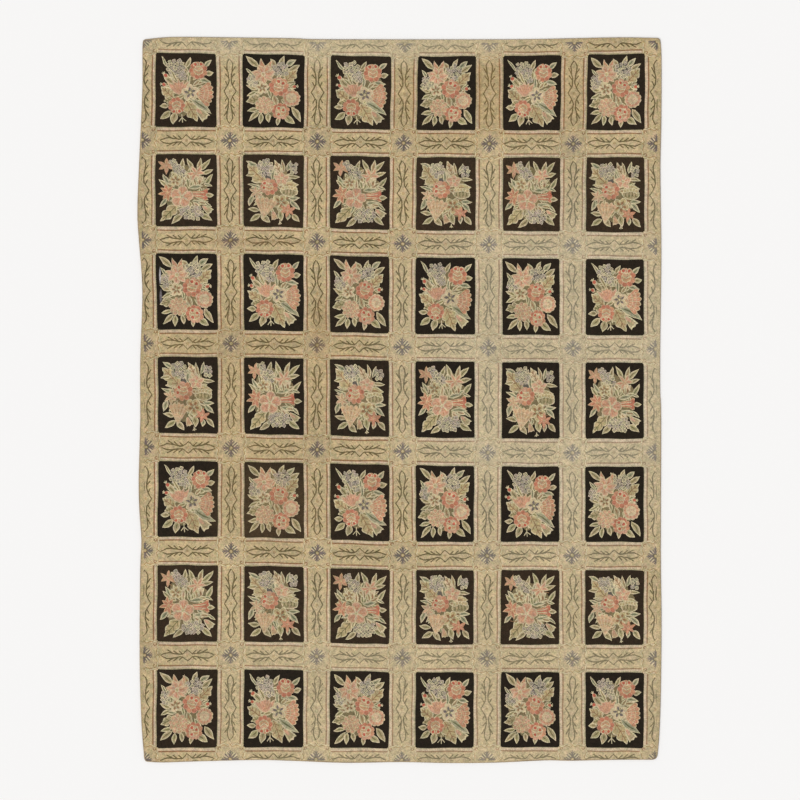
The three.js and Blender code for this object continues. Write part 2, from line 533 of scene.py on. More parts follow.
# Each leaf: its stalk across and down, its tip across and down, all in hundredths of the panel from
# its top left corner, its width in mm, its tone, and "oak" where it has lobes.
LEAVES = {
    "A": [
        (21, 22, 7, 5, 17, "grey"), (50, 20, 59, 6, 24, "khaki"), (81, 20, 95, 9, 26, "grey"),
        (83, 29, 98, 26, 30, "khaki"), (55, 45, 55, 28, 20, "grey"), (73, 36, 94, 39, 27, "grey"),
        (62, 46, 73, 36, 22, "umber"), (69, 49, 83, 46, 18, "sage"), (28, 44, 10, 29, 32, "khaki"),
        (27, 50, 9, 48, 26, "grey"), (30, 63, 5, 48, 64, "wheat", "oak"),
        (28, 63, 10, 68, 40, "golden", "oak"), (48, 57, 31, 62, 22, "golden"),
        (66, 68, 49, 62, 20, "sage"), (19, 73, 3, 73, 28, "khaki"), (24, 79, 6, 90, 34, "sage"),
        (33, 81, 27, 97, 38, "khaki"), (50, 66, 70, 97, 84, "wheat", "oak"),
        (59, 64, 96, 83, 42, "grey"),
    ],
    "B": [
        (25, 19, 4, 4, 32, "khaki"), (54, 18, 43, 7, 26, "umber"), (60, 18, 68, 3, 27, "khaki"),
        (71, 17, 88, 7, 30, "grey"), (74, 24, 95, 13, 30, "khaki"),
        (70, 40, 93, 22, 66, "wheat", "oak"), (15, 30, 5, 20, 18, "grey"),
        (22, 50, 3, 44, 24, "golden"), (22, 53, 5, 60, 22, "sage"),
        (30, 62, 2, 69, 56, "khaki", "oak"), (25, 77, 4, 80, 24, "sage"),
        (26, 80, 6, 95, 28, "khaki"), (29, 82, 28, 97, 27, "sage"), (40, 82, 43, 95, 27, "khaki"),
        (59, 86, 57, 99, 25, "khaki"), (68, 85, 87, 95, 36, "sage"), (80, 74, 97, 93, 34, "khaki"),
        (42, 49, 45, 62, 20, "moss"), (50, 55, 58, 73, 32, "umber"), (76, 45, 89, 40, 16, "moss"),
        (76, 45, 88, 48, 16, "moss"), (24, 53, 40, 42, 46, "golden"), (34, 30, 26, 6, 32, "salmon"),
        (35, 30, 45, 7, 30, "salmon"), (38, 34, 53, 24, 26, "salmon"),
    ],
    "C": [
        (42, 24, 47, 6, 25, "khaki"), (64, 24, 52, 5, 26, "sage"), (70, 24, 77, 5, 26, "umber"),
        (74, 23, 94, 7, 27, "sage"), (74, 27, 96, 22, 25, "khaki"), (82, 45, 96, 28, 26, "moss"),
        (80, 42, 95, 46, 18, "grey"), (21, 42, 10, 28, 24, "grey"), (20, 46, 6, 34, 22, "sage"),
        (40, 47, 25, 25, 46, "golden", "oak"), (44, 48, 45, 30, 24, "bronze"),
        (55, 48, 52, 33, 22, "moss"), (57, 47, 64, 33, 22, "moss"), (50, 28, 56, 38, 24, "umber"),
        (55, 48, 81, 44, 28, "grey"), (17, 61, 4, 74, 26, "grey"),
        (37, 70, 8, 95, 66, "golden", "oak"), (45, 84, 25, 97, 30, "khaki"),
        (60, 66, 90, 67, 28, "grey"), (70, 67, 92, 70, 20, "umber"), (82, 66, 96, 75, 18, "grey"),
        (62, 68, 75, 79, 26, "bronze"), (74, 83, 95, 94, 32, "sage"), (62, 44, 68, 27, 24, "sage"),
        (68, 45, 62, 30, 20, "umber"), (36, 40, 33, 26, 22, "golden"),
    ],
    "D": [
        (24, 17, 4, 8, 26, "grey"), (42, 27, 38, 42, 44, "shadow"), (32, 38, 10, 38, 26, "wheat"),
        (37, 40, 7, 12, 92, "wheat", "oak"), (20, 27, 3, 29, 22, "golden"),
        (50, 37, 48, 16, 24, "grey"), (59, 31, 53, 17, 14, "moss"),
        (65, 30, 50, 7, 46, "bronze", "oak"), (68, 25, 63, 7, 20, "umber"),
        (73, 23, 79, 7, 22, "grey"), (73, 30, 97, 32, 22, "khaki"), (64, 42, 93, 43, 44, "wheat"),
        (27, 47, 4, 41, 20, "grey"), (14, 57, 7, 73, 28, "grey"), (33, 58, 16, 73, 24, "khaki"),
        (26, 79, 5, 76, 26, "khaki"), (28, 84, 8, 94, 30, "sage"), (29, 84, 44, 96, 32, "khaki"),
        (60, 78, 64, 94, 34, "sage"), (76, 82, 75, 93, 24, "grey"), (82, 82, 96, 94, 30, "khaki"),
        (76, 61, 97, 60, 24, "grey"), (78, 63, 95, 76, 28, "grey"), (55, 41, 71, 36, 24, "sage"),
        (57, 45, 74, 47, 26, "umber"), (52, 75, 51, 55, 16, "umber"), (56, 60, 74, 64, 22, "khaki"),
    ],
}
# Each flower: what draws it, its middle or foot across and down in hundredths of the panel, the way
# it points in degrees, its radius, width or length in mm, and what else it takes: its tone or kind,
# and its number of petals, its spread in degrees, its height or its width in mm. What comes later
# lies on top.
FLOWERS = {
    "A": [
        (bunch, 34, 21, -80, 96, 100), (bunch, 44, 31, -70, 44, 46), (bud, 17, 35, 128, 15),
        (bud, 17, 44, 165, 13), (tulip, 38, 57, 98, 88, "pink", 5),
        (carnation, 61, 56, -3, 110, "salmon", 84), (bell, 69, 77, -48, 72, "bud"),
        (open_flower, 58, 54, 100, 47, "ivory", 5), (rose, 71, 24, 90, 48, "two"),
        (rose, 34, 72, -90, 46, "two"), (fork, 43, 84, -86, 44),
        (leaf, 36, 41, 118, 86, 19, "golden"),
    ],
    "B": [
        (bunch, 63, 22, -70, 88, 82), (bunch, 14, 37, -90, 56, 66),
        (lily, 33, 27, 62, 62, "pink", 7), (open_flower, 31, 47, 100, 38, "bronze", 5),
        (bud, 80, 45, 5, 13), (round_flower, 80, 61, 0, 46, "pink"),
        (peony, 35, 71, 0, 50, "blush"), (rose, 62, 80, 90, 46, "half"),
        (rose, 59, 45, 78, 50, "round"),
    ],
    "C": [
        (starry, 17, 17, 25, 49, "faded", 6), (bunch, 28, 12, -60, 40, 40),
        (bunch, 40, 23, -40, 56, 84), (starry, 68, 27, 60, 54, "pink", 6),
        (open_flower, 31, 37, 90, 34, "wheat", 5), (bell, 73, 42, 90, 46, "bronze"),
        (starry, 18, 54, 12, 52, "coral", 8), (bunch, 59, 83, -90, 122, 74),
        (bell, 78, 73, -42, 58, "bud"), (trumpet, 59, 56, 2, 82, "coral"),
        (leaf, 84, 57, 0, 44, 27, "khaki"), (hibiscus, 43, 60, 82, 60, "pink"),
    ],
    "D": [
        (bunch, 35, 19, -80, 84, 84), (bunch, 85, 19, -90, 52, 60),
        (lily, 64, 33, 20, 46, "pink", 5), (pod, 78, 51, 0, 29),
        (starry, 19, 54, 150, 44, "blush", 6), (open_flower, 61, 67, 60, 48, "barn", 5),
        (carnation, 32, 91, 84, 120, "fawn", 60), (bell, 48, 80, -76, 48, "blush"),
        (starry, 75, 78, 25, 43, "ember", 6), (fork, 61, 93, -84, 22),
        (rose, 42, 46, 90, 48, "wide"),
    ],
}


def spot(across, down):
    """A place on the nominal panel, from hundredths to mm from its middle."""
    return (across / 100 - 0.5) * BOUQUET_WIDTH, (0.51 - down / 100) * BOUQUET_HEIGHT


def bouquet(kind, chance):
    """One bouquet as (yarn, brightness, shape) rows. Each is hooked a little differently."""
    drawn = []

    def lay(motif, x, y, turn):
        size = chance.uniform(0.96, 1.04)
        light = chance.uniform(0.94, 1.06)
        at = (x + chance.gauss(0, 1.6), y + chance.gauss(0, 1.6))
        for yarn, shape in placed(motif, *at, turn + chance.gauss(0, 2.5), size):
            drawn.append((yarn, light, shape))

    filling = ring(40, 9, 0.14)
    filling = [(0.36 * PANEL_WIDTH / 40 * x, 0.37 * PANEL_HEIGHT / 40 * y) for x, y in filling]
    lay([("shade", filling)], 0, 0, 0)
    for angle in range(0, 360, 24):
        tone = chance.choice(("sage", "khaki", "golden", "grey", "umber"))
        x, y = around(0.17, angle + chance.uniform(-8, 8))
        filler = leaf(chance.uniform(56, 72), chance.uniform(20, 26), tone)
        lay(filler, x * PANEL_WIDTH, y * PANEL_HEIGHT, angle + chance.uniform(-25, 25))
    for angle in range(0, 360, 45):
        x, y = around(0.24, angle + chance.uniform(-15, 15))
        length, width = chance.uniform(36, 48), chance.uniform(15, 19)
        filler = leaf(length, width, chance.choice(("khaki", "umber", "moss")))
        lay(filler, x * PANEL_WIDTH, y * PANEL_HEIGHT, angle + chance.uniform(-80, 80))
    for _ in range(14):
        x, y = chance.uniform(-0.24, 0.24) * PANEL_WIDTH, chance.uniform(-0.24, 0.24) * PANEL_HEIGHT
        stalk = [(0, 0), (chance.uniform(14, 20), chance.uniform(-4, 4)), (chance.uniform(30, 44), 0)]
        yarn = chance.choice(("moss", "umber", "khaki", "cream"))
        lay([(yarn, stroke(stalk, 4.2))], x, y, math.degrees(math.atan2(y, x)) + chance.uniform(-50, 50))
    for across, down, tip_across, tip_down, width, tone, *lobed in LEAVES[kind]:
        x, y = spot(across, down)
        tip_x, tip_y = spot(tip_across, tip_down)
        length = math.hypot(tip_x - x, tip_y - y)
        turn = math.degrees(math.atan2(tip_y - y, tip_x - x))
        if lobed:
            lay(oak_leaf(length, width, tone), x, y, turn)
        else:
            lay(leaf(length, width, tone, chance.uniform(-0.05, 0.05)), x, y, turn)
    for draw, across, down, turn, *details in FLOWERS[kind]:
        if draw is bunch:
            details.append(chance)
        lay(draw(*details), *spot(across, down), turn)
    return drawn


def bowed(line, share):
    """A place on a smooth line through evenly spaced stations, with share from -1 to 1. The line's last
    number is the distance to the panels and no station."""
    last = len(line) - 2
    place = (share + 1) / 2 * last
    k = min(max(int(place), 0), last - 1)
    t = place - k
    here, there = line[k], line[k + 1]
    before = line[k - 1] if k else 2 * here - there
    after = line[k + 2] if k + 1 < last else 2 * there - here
    out, back = (there - before) / 2, (after - here) / 2
    bend = 3 * (there - here) - 2 * out - back
    return here + t * (out + t * (bend + t * (out + back - 2 * (there - here))))


def upright_x(column, y):
    """The X of an upright band's middle line."""
    return bowed(UPRIGHTS[column], -y / HALF_ALONG)


def level_y(row, x):
    """The Y of a level band's middle line."""
    return bowed(LEVELS[row], x / HALF_ACROSS)


def crossing(column, row):
    """Where the middle lines of two bands cross."""
    y = level_y(row, upright_x(column, 0))
    x = upright_x(column, y)
    return x, level_y(row, x)


def on_panel(column, row, across, down, grow=0.0):
    """The place of a point that is given as shares of a panel's width and height, grown by a margin."""
    y = LEVELS[row][2] + (LEVELS[row + 1][2] - LEVELS[row][2]) * down
    left = upright_x(column, y) + UPRIGHTS[column][-1] - grow
    right = upright_x(column + 1, y) - UPRIGHTS[column + 1][-1] + grow
    x = left + (right - left) * across
    top = level_y(row, x) - LEVELS[row][-1] + grow
    bottom = level_y(row + 1, x) + LEVELS[row + 1][-1] - grow
    return x, top + (bottom - top) * down


# How the hand wanders as it hooks a row: how far, over what length, and over what length that
# wanders in turn, for each way.
WANDER_ACROSS = [(1.3, 41, 130), (1.1, 7.3, 23)]
WANDER_ALONG = [(1.3, 37, 150), (1.1, 6.7, 21)]


def wander(rows, here, there):
    """How far a point moves one way, by its place the other way and its own."""
    return sum(reach * math.sin(there / run + 2.0 * math.sin(here / turn)) for reach, run, turn in rows)


def wandered(shape):
    """Moves drawn points a little, as rows hooked by hand wander."""
    return [(x + wander(WANDER_ACROSS, x, y), y + wander(WANDER_ALONG, y, x)) for x, y in shape]


def swell(x, y):
    """How far the pile rises or sinks, because the cloth under it lies a little uneven."""
    return 0.3 * math.sin(x / 190 + 1.1 * math.sin(y / 310)) + 0.25 * math.sin(y / 230 + math.sin(x / 270))


PANEL_CORNERS = [(0, 0), (1, 0), (1, 1), (0, 1)]
SIDE_STEPS = 9


def panel_shape(column, row, grow=0.0, notch=0.0):
    """A panel's outline. A notch takes a bite out of each corner."""
    shape = []
    for (x0, y0), (x1, y1) in zip(PANEL_CORNERS, PANEL_CORNERS[1:] + PANEL_CORNERS[:1]):
        cut = notch / (PANEL_WIDTH if y0 == y1 else PANEL_HEIGHT)
        if notch:
            bite_x = x0 + (0.5 - x0) * 1.3 * notch / PANEL_WIDTH
            bite_y = y0 + (0.5 - y0) * 1.3 * notch / PANEL_HEIGHT
            shape.append(on_panel(column, row, bite_x, bite_y, grow))
        for k in range(SIDE_STEPS):
            share = cut + (1 - 2 * cut) * k / (SIDE_STEPS - (1 if notch else 0))
            shape.append(on_panel(column, row, x0 + (x1 - x0) * share, y0 + (y1 - y0) * share, grow))
    return wandered(shape)


# Half of a sprig: how far along from its middle, and how far out from its axis.
UPRIGHT_SPRIG = [(0, 33), (20, 20), (40, 9), (57, 6), (80, 7)]
UPRIGHT_SPRIG += [(102, 11), (126, 15), (146, 16), (160, 11), (174, 0)]
LEVEL_SPRIG = [(0, 31), (13, 19), (25, 8), (40, 7), (54, 9)]
LEVEL_SPRIG += [(72, 12), (92, 15.5), (111, 14.5), (128, 8), (143, 0)]
# The barbs of half a sprig: the foot's place along and out, then the tip's.
UPRIGHT_BARBS = [(31, 13, 56, 26), (69, 6, 94, 26), (100, 10, 134, 30)]
LEVEL_BARBS = [(27, 9, 46, 26), (50, 9, 74, 28), (76, 14, 108, 31)]
SPRIG_LINE = 7.0


def sprig(profile, barbs):
    """A diamond with a long spindle on each side and short barbs, drawn as one olive line."""

    def outline(grow):
        quarter = [(x + (grow if x == profile[-1][0] else 0), max(y + grow, 0)) for x, y in profile]
        upper = [(-x, y) for x, y in quarter[:0:-1]] + quarter
        return upper + [(x, -y) for x, y in upper[-2:0:-1]]

    motif = []
    for along, out, tip_along, tip_out in barbs:
        for way_x, way_y in FOUR_WAYS:
            barb = [(way_x * along, way_y * out), (way_x * tip_along, way_y * tip_out)]
            motif.append(("sprig", stroke(barb, 6.2)))
    motif += [("sprig", outline(SPRIG_LINE / 2)), ("honey", outline(-SPRIG_LINE / 2))]
    return motif + [("tan", ring(7.5)), ("honey", ring(4.6)), ("umber", ring(2.4))]


# Half of one side of a star's frame: how far along from the side's middle, and how far out.
FRAME_SIDE = [(0, 74), (4, 69), (9, 63), (18, 66), (30, 70), (44, 69), (56, 66), (64, 68)]
# The cream curls at a frame's corner, seen from the star.
CORNER_CURLS = [
    [(26, 82), (40, 78), (52, 72), (62, 71), (70, 79)],
    [(70, 36), (71, 50), (71, 61), (77, 70)],
]


def star():
    """Feathered rays round a gold eye, inside a frame of wavy lines with curls at its corners."""
    side = [(out, -along) for along, out in FRAME_SIDE[:0:-1]] + [(out, along) for along, out in FRAME_SIDE]
    sides = [side, [(-y, x + 3) for x, y in side]]
    sides += [[(-x, -y) for x, y in shape] for shape in sides]
    motif = [("honey", [place for shape in sides for place in shape])]
    for shape in sides:
        light = [(x * 1.085, y * 1.085) for x, y in shape]
        motif += [("cream", stroke(light, 5.0)), ("tan", stroke(shape, 4.4))]
    hook = [("russet", stroke([around(7, angle) for angle in range(30, 291, 65)], 4.8))]
    hook.append(("ivory", ring(3.6)))
    for way_x, way_y in FOUR_WAYS:
        for curl in CORNER_CURLS:
            path = [(way_x * x, way_y * y) for x, y in curl]
            motif += [("tan", stroke(path, 10.5)), ("cream", stroke(path, 5.8))]
        motif += placed(hook, way_x * 56, way_y * 58, 70 * way_x + 40 * way_y)
    quarter = [("tan", stroke([(86, 9), (74, 0), (86, -9)], 4.2))]
    quarter += [("cream", stroke([(16, way * 9.5), (33, way * 21.5)], 4.6)) for way in (-1, 1)]
    motif += all_round(quarter, 4)
    motif += all_round([("violet", [(6, 3.8), (41, 2.9), (41, -2.9), (6, -3.8)])], 4, 0.5)
    for turn, reach in ((0, 47), (90, 49), (180, 48), (270, 47)):
        half = [(4, 5), (14, 7), (27, 6.4), (37, 3), (reach, 1.8)]
        ray = [("violet", half + [(x, -y) for x, y in half[::-1]])]
        for way in (-1, 1):
            ray.append(("violet", stroke([(18, way * 2), (35, way * 15)], 5.6)))
            ray.append(("violet", stroke([(31, way * 1), (43, way * 9)], 4.4)))
        motif += placed(ray, 0, 0, turn)
    return motif + [("sprig", ring(11.5)), ("gold", ring(8.0)), ("honey", ring(4.0))]


def plain_strips():
    """The plain strips outside the pattern along the four edges, which cut the outer stars in half."""
    beyond = 40
    side, end = HALF_ACROSS + beyond, HALF_ALONG + beyond
    shares = [k / 12 for k in range(-12, 13)]
    strips = []
    for way, column in ((-1, 0), (1, PANEL_COLUMNS)):
        inner = [(upright_x(column, y * HALF_ALONG) + way * 6, y * end) for y in shares]
        outer = way * (side + beyond)
        strips.append(inner + [(outer, end), (outer, -end)])
    for way, row in ((1, 0), (-1, PANEL_ROWS)):
        inner = [(x * side, level_y(row, x * HALF_ACROSS) + way * 4) for x in shares]
        outer = way * (end + beyond)
        strips.append(inner + [(side, outer), (-side, outer)])
    return strips


# The rows of yarn round each panel: the colour, how far out it reaches, and how much farther it
# reaches on the panel's left and upper sides than on the other two.
PANEL_ROWS_OF_YARN = [
    ("russet", 22.8, 0.0),
    ("blush", 15.6, 0.0),
    ("pale_sage", 5.2, 1.8),
    ("black", 0.0, 0.0),
]


def trellis(outline, yarns, chance):
    """The whole pattern between the panels as (colour, shape) rows, the lowest first."""
    drawn = [(tuple(yarns.straw), outline)]

    def lay(motif, x, y, turn):
        light = chance.uniform(0.93, 1.05)
        at = (x + chance.gauss(0, 0.8), y + chance.gauss(0, 0.8))
        for yarn, shape in placed(motif, *at, turn + chance.gauss(0, 0.8), chance.uniform(0.97, 1.03)):
            colour = tuple(light * c for c in getattr(yarns, yarn))
            drawn.append((colour, wandered(shape)))

    for row in range(PANEL_ROWS):
        for column in range(PANEL_COLUMNS):
            for yarn, grow, aside in PANEL_ROWS_OF_YARN:
                shape = [(x - aside, y + aside) for x, y in panel_shape(column, row, grow)]
                drawn.append((tuple(getattr(yarns, yarn)), shape))
    for row in range(PANEL_ROWS + 1):
        for column in range(PANEL_COLUMNS + 1):
            x, y = crossing(column, row)
            lay(star(), x, y, 0)
            if row < PANEL_ROWS:
                below_x, below_y = crossing(column, row + 1)
                lay(sprig(UPRIGHT_SPRIG, UPRIGHT_BARBS), (x + below_x) / 2, (y + below_y) / 2, 90)
            if column < PANEL_COLUMNS:
                next_x, next_y = crossing(column + 1, row)
                tilt = math.degrees(math.atan2(next_y - y, next_x - x))
                lay(sprig(LEVEL_SPRIG, LEVEL_BARBS), (x + next_x) / 2, (y + next_y) / 2, tilt)
    return drawn + [(tuple(yarns.selvage), shape) for shape in plain_strips()]


def coloured(shapes):
    """The flat pieces that the shapes cut each other into, with the yarn that shows on each. A shape
    hides those before it, and nothing shows outside the first."""
    points, rings = [], []
    for _, shape in shapes:
        rings.append(list(range(len(points), len(points) + len(shape))))
        points += [Vector(place) for place in leftward(shape)]
    places, _, faces, _, _, owners = delaunay_2d_cdt(points, [], rings, 1, WELD)
    return places, faces, [shapes[max(owner)][0] if 0 in owner else None for owner in owners]


def borders(faces, yarns):
    """The edges where one yarn meets another."""
    beside = {}
    for face, yarn in zip(faces, yarns):
        for edge in zip(face, face[1:] + face[:1]):
            beside.setdefault((min(edge), max(edge)), []).append(yarn)
    return [edge for edge, pair in beside.items() if len(set(pair)) > 1 or (len(pair) == 1 and pair[0])]


def inlaid(name, shapes, spots, top, under):
    """A closed sheet whose face is cut only where one colour of yarn meets another. The first shape is
    the sheet itself, and top and under give its two heights at a place."""
    places, pieces, yarns = coloured(shapes)
    edges = borders(pieces, yarns)
    used = sorted({k for edge in edges for k in edge})
    number = {k: n for n, k in enumerate(used)}
    ends = [(number[a], number[b]) for a, b in edges]
    points = [places[k] for k in used] + [Vector(place) for place in spots]
    corners, _, faces, _, _, _ = delaunay_2d_cdt(points, ends, [], 1, CLOSE)
    find = BVHTree.FromPolygons([(x, y, 0.0) for x, y in places], pieces).find_nearest
    sheet = bmesh.new()
    tint = sheet.loops.layers.float_color.new("yarn")
    verts = [sheet.verts.new((x * MM, y * MM, top(x, y) * MM)) for x, y in corners]
    for face in faces:
        x, y = sum((corners[k] for k in face), Vector((0, 0))) / 3
        yarn = yarns[find((x, y, 0.0))[2]]
        if yarn is None:
            continue
        for loop in sheet.faces.new([verts[k] for k in face]).loops:
            loop[tint] = (*yarn, 1.0)
    bmesh.ops.delete(sheet, geom=[v for v in sheet.verts if not v.link_faces], context="VERTS")
    rim = [edge for edge in sheet.edges if edge.is_boundary]
    hung = bmesh.ops.extrude_edge_only(sheet, edges=rim)["geom"]
    for vert in hung:
        if isinstance(vert, bmesh.types.BMVert):
            vert.co.z = under(vert.co.x / MM, vert.co.y / MM) * MM
    floor = bmesh.ops.holes_fill(sheet, edges=[edge for edge in sheet.edges if edge.is_boundary], sides=0)
    for face in hung + floor["faces"]:
        if isinstance(face, bmesh.types.BMFace):
            for loop in face.loops:
                loop[tint] = (*shapes[0][0], 1.0)
    bmesh.ops.recalc_face_normals(sheet, faces=sheet.faces)
    return finished(name, sheet)


def leftward(shape):
    """The shape's points in the order that goes round to the left. Its leftmost point comes last: a
    shape that crosses itself is then still filled from its outer side."""
    last = shape.index(min(shape))
    shape = shape[last + 1 :] + shape[: last + 1]
    (x0, y0), (x1, y1), (x2, y2) = shape[-2], shape[-1], shape[0]
    if (x1 - x0) * (y2 - y1) < (y1 - y0) * (x2 - x1):
        shape = shape[-2::-1] + shape[-1:]
    return shape


def finished(name, mesh_in_work):
    """Turns a bmesh into a piece at the origin that rides on the rug's one body."""
    mesh = bpy.data.meshes.new(name)
    mesh_in_work.to_mesh(mesh)
    mesh_in_work.free()
    piece = bpy.data.objects.new(name, mesh)
    bpy.context.collection.objects.link(piece)
    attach(piece, "root")
    return piece


def map_face(piece):
    """Gives a flat piece a UV map named OFBake. The face fills nearly all of the
    map, and the underside and the rim share a narrow strip below it."""
    mesh = piece.data
    low = [min(vert.co[k] for vert in mesh.vertices) for k in range(3)]
    span = [max(vert.co[k] for vert in mesh.vertices) - low[k] for k in range(3)]
    laid = mesh.uv_layers.new(name="OFBake").data

    def share(place):
        return [(place[k] - low[k]) / span[k] for k in range(3)]

    def turn(u, v):
        return math.atan2(v - 0.5, u - 0.5) / math.tau + 0.5

    for face in mesh.polygons:
        u, v, _ = share(face.center)
        middle = turn(u, v)
        for loop in face.loop_indices:
            u, v, w = share(mesh.vertices[mesh.loops[loop].vertex_index].co)
            if face.normal.z > 0.5:
                laid[loop].uv = (0.004 + 0.992 * u, 0.07 + 0.926 * v)
            elif face.normal.z < -0.5:
                laid[loop].uv = (0.004 + 0.992 * u, 0.004 + 0.024 * v)
            else:
                around_rim = turn(u, v)
                around_rim -= round(around_rim - middle)
                laid[loop].uv = (0.04 + 0.92 * around_rim, 0.036 + 0.024 * w)


def rim_outline():
    """The CAD slab's outline in mm at half its height, going round once."""
    slab = bmesh.new()
    slab.from_mesh(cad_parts[SLAB].data)
    bmesh.ops.remove_doubles(slab, verts=slab.verts, dist=0.01 * MM)
    low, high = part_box(SLAB)
    cut = bmesh.ops.bisect_plane(
        slab,
        geom=slab.verts[:] + slab.edges[:] + slab.faces[:],
        plane_co=(0, 0, (low[2] + high[2]) / 2),
        plane_no=(0, 0, 1),
    )["geom_cut"]
    rim = {edge for edge in cut if isinstance(edge, bmesh.types.BMEdge)}
    edge = next(iter(rim))
    corner = edge.verts[0]
    outline = []
    while rim:
        rim.discard(edge)
        corner = edge.other_vert(corner)
        outline.append((corner.co.x / MM, corner.co.y / MM))
        edge = next((e for e in corner.link_edges if e in rim), None)
        if edge is None:
            break
    slab.free()
    return leftward(outline)


def evenly(outline, count):
    """Points spaced evenly round a closed outline, with the outward direction at each."""
    steps = list(zip(outline, outline[1:] + outline[:1]))
    lengths = [math.dist(a, b) for a, b in steps]
    whole = sum(lengths)
    found, k, passed = [], 0, 0.0
    for n in range(count):
        goal = whole * n / count
        while passed + lengths[k] < goal:
            passed += lengths[k]
            k += 1
        (x0, y0), (x1, y1) = steps[k]
        share = (goal - passed) / lengths[k]
        found.append((x0 + (x1 - x0) * share, y0 + (y1 - y0) * share))
    placed_points = []
    for n, (x, y) in enumerate(found):
        x0, y0 = found[n - 2]
        x1, y1 = found[(n + 2) % count]
        run = math.hypot(x1 - x0, y1 - y0)
        placed_points.append((x, y, (y1 - y0) / run, (x0 - x1) / run))
    return placed_points


def inset(outline, depth, count):
    """The outline drawn in by a depth."""
    return [(x - out_x * depth, y - out_y * depth) for x, y, out_x, out_y in evenly(outline, count)]


def add(tree, kind, inputs=None, **settings):
    """Adds a node, gives it its settings, and fills its sockets with values or with other sockets."""
    node = tree.nodes.new("ShaderNode" + kind)
    for name, value in settings.items():
        setattr(node, name, value)
    for socket, value in (inputs or {}).items():
        if isinstance(value, bpy.types.NodeSocket):
            tree.links.new(value, node.inputs[socket])
        else:
            node.inputs[socket].default_value = value
    return node


# Which sockets of a colour mix take the colour below and the colour above, and which gives the mix.
MIX_BELOW = 6
MIX_ABOVE = 7
MIX_RESULT = 2


def new_material(name, roughness, sheen):
    """A material with its shader, its roughness and its sheen set on the shader itself."""
    material = bpy.data.materials.new(name)
    material.use_nodes = True
    shader = material.node_tree.nodes["Principled BSDF"]
    shader.inputs["Roughness"].default_value = roughness
    shader.inputs["Sheen Weight"].default_value = sheen
    shader.inputs["Specular IOR Level"].default_value = 0.1
    return material, material.node_tree, shader


# Worn and stained places: X, Y, half width and half height in mm, strength, and their colour.
STAINS = [
    (-1260, 655, 6, 52, 0.70, "#cfc8c6"),
    (-1256, 545, 8, 44, 0.30, "#b9b0b4"),
    (-830, 830, 480, 22, 0.22, "#8d6a45"),
    (-420, 380, 60, 210, 0.22, "#94744c"),
    (420, 1640, 22, 220, 0.30, "#9c8156"),
    (-1130, 10, 120, 90, 0.18, "#8a6a4a"),
    (-700, -560, 420, 300, 0.12, "#9a7d55"),
]
# The same for where the trellis has faded or yellowed in broad patches.
FADED = [
    (850, 150, 1050, 1300, 0.28, "#ccc4ac"),
    (300, -1550, 1700, 760, 0.20, "#cfc3a4"),
    (470, 1600, 760, 300, 0.24, "#97794c"),
    (-800, 120, 760, 620, 0.14, "#98794c"),
    (-300, 1880, 1300, 160, 0.30, "#cdc3a6"),
]


